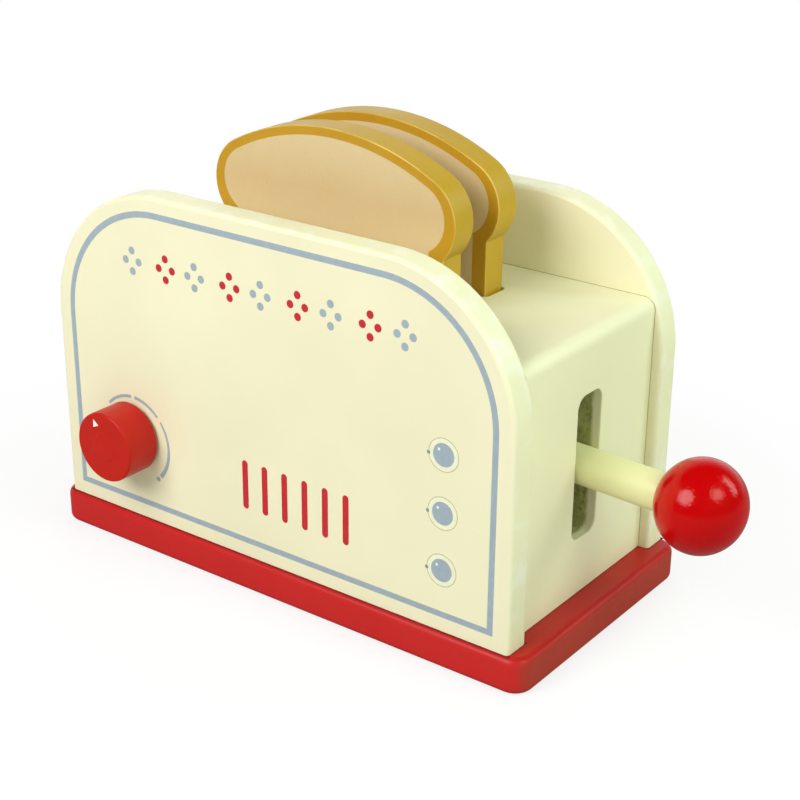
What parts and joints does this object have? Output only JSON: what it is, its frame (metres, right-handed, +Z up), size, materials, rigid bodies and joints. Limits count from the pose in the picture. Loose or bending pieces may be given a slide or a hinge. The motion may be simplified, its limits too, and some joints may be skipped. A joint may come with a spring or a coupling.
{
  "type": "toy toaster",
  "caption": "Wooden toy toaster on a red base: slices of toast stand in slots on a sprung lift that a ball lever moves; a round knob turns on the front.",
  "frame": {"origin": "on the base board's underside, below the middle of the box", "axes": "+X towards the ball lever, -Y towards the printed front panel with the knob, +Z up"},
  "size_m": [0.2901, 0.1329, 0.184],
  "materials": {
    "cream_paint": "satin paint over wood",
    "red_paint": "satin paint over wood",
    "gloss_red_paint": "gloss paint over wood",
    "crust_paint": "satin paint over wood, with a pale print on each face",
    "bare_wood": "sanded, unpainted",
    "spring_steel": "drawn wire",
    "screw_steel": "zinc plated"
  },
  "bodies": {
    "root": {"base_board": "red_paint", "front_panel": "cream_paint", "rear_panel": "cream_paint", "left_end_board": "cream_paint", "right_end_board": "cream_paint", "top_board": "cream_paint", "panel_dowels": "bare_wood", "top_board_dowels": "bare_wood", "base_screws": "screw_steel", "left_guide_dowel": "bare_wood", "right_guide_dowel": "bare_wood", "left_spring": "spring_steel", "right_spring": "spring_steel", "knob_washer": "bare_wood"},
    "lift": {"lift_block": "bare_wood", "lever_rod": "cream_paint", "lever_ball": "gloss_red_paint", "lever_screw": "screw_steel", "spring_washers": "screw_steel"},
    "knob": {"knob": "red_paint", "knob_axle": "red_paint", "knob_collar": "bare_wood"},
    "toast_front": {"toast_front": "crust_paint"},
    "toast_rear": {"toast_rear": "crust_paint"}
  },
  "joints": [
    {"name": "lift_slide", "type": "slide", "parent": "root", "child": "lift", "axis": [0, 0, 1], "range_m": [-0.0215, 0.0215], "stiffness_N_per_m": 510, "springref_m": 0.0049, "deforming": ["left_spring", "right_spring"]},
    {"name": "toast_front_lift", "type": "slide", "parent": "lift", "child": "toast_front", "axis": [0, 0, 1], "range_m": [0, 0.09]},
    {"name": "toast_rear_lift", "type": "slide", "parent": "lift", "child": "toast_rear", "axis": [0, 0, 1], "range_m": [0, 0.09]},
    {"name": "knob_turn", "type": "hinge", "parent": "root", "child": "knob", "pos_m": [-0.0733, -0.0575, 0.0513], "axis": [0, -1, 0], "continuous": true}
  ]
}
